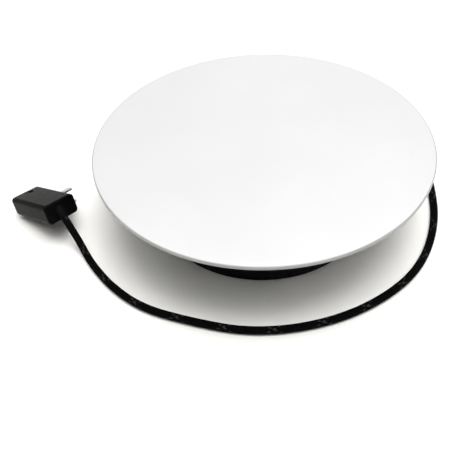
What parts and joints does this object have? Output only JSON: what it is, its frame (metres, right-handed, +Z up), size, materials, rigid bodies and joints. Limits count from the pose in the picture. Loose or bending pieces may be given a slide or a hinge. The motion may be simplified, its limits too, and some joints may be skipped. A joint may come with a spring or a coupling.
{
  "type": "pottery wheel",
  "caption": "Compact electric pottery wheel for a table: thin round white wheel head on a low black drum with a direct-drive motor inside, and a black braided power cord with plug.",
  "frame": {"origin": "on the wheel's axis at the height of the table that the feet stand on", "axes": "+Z up along the wheel's axis, +Y towards the controls and the cord's strain relief, +X to the right seen from the plain side"},
  "size_m": [0.4163, 0.3694, 0.0747],
  "materials": {
    "head_coating": "white satin coating",
    "shell_black": "black fine-textured moulding",
    "steel": "ground steel",
    "aluminium": "machined",
    "zinc_plate": "grey painted sheet steel",
    "magnet": "dark nickel plate",
    "lamination": "varnished stack",
    "copper": "enamelled copper wire",
    "cage": "pressed brass",
    "rubber": "matte",
    "board": "green circuit board",
    "dark_plastic": "black satin",
    "gloss_black": "black gloss",
    "light_plastic": "grey",
    "cord_braid": "black textile braid with pale flecks",
    "wire": "blue insulation",
    "plug_black": "black satin moulding",
    "nickel": "bright nickel plate"
  },
  "bodies": {
    "wheel": {"wheel_head": "head_coating", "hub": "aluminium", "hub_set_screws": "steel", "spindle": "steel", "spacer_ring": "steel", "retaining_ring": "steel", "rotor_bell": "steel", "rotor_magnets": "magnet", "rotor_screws": "steel", "lower_inner_race": "steel", "upper_inner_race": "steel"},
    "ball_sets": {"lower_balls": "nickel", "lower_ball_cage": "cage", "upper_balls": "nickel", "upper_ball_cage": "cage"},
    "rocker": {"switch_rocker": "gloss_black"},
    "knob": {"speed_knob": "dark_plastic", "potentiometer_shaft": "steel"},
    "base": {"base_shell": "shell_black", "base_plate": "zinc_plate", "base_screws": "steel", "rubber_feet": "rubber", "bearing_housing": "aluminium", "housing_screws": "steel", "lower_outer_race": "steel", "upper_outer_race": "steel", "stator_core": "lamination", "stator_windings": "copper", "control_board": "board", "board_standoffs": "cage", "board_screws": "steel", "capacitors": "dark_plastic", "heat_sink": "aluminium", "choke": "lamination", "terminal_block": "light_plastic", "supply_wires": "wire", "switch_body": "dark_plastic", "switch_terminals": "cage", "potentiometer": "zinc_plate", "potentiometer_nut": "steel", "strain_relief": "rubber", "cord_entry": "cord_braid", "cord_coil": "cord_braid", "cord_run": "cord_braid", "plug_boot": "rubber", "plug_body": "plug_black", "plug_blades": "nickel", "plug_screw": "steel"}
  },
  "joints": [
    {"name": "wheel_spin", "type": "hinge", "parent": "base", "child": "wheel", "pos_m": [0, 0, 0.03], "axis": [0, 0, 1], "continuous": true},
    {"name": "ball_orbit", "type": "hinge", "parent": "base", "child": "ball_sets", "pos_m": [0, 0, 0.03], "axis": [0, 0, 1], "continuous": true},
    {"name": "rocker_tip", "type": "hinge", "parent": "base", "child": "rocker", "pos_m": [-0.04775, 0.0898, 0.034], "axis": [0.8829, 0.4695, 0], "range_deg": [-20, 0]},
    {"name": "knob_turn", "type": "hinge", "parent": "base", "child": "knob", "pos_m": [-0.08954, 0.06039, 0.034], "axis": [-0.829, 0.5592, 0], "range_deg": [-270, 0]}
  ],
  "couplings": [
    {"joint": "ball_orbit", "follows": "wheel_spin", "ratio": 0.381}
  ]
}
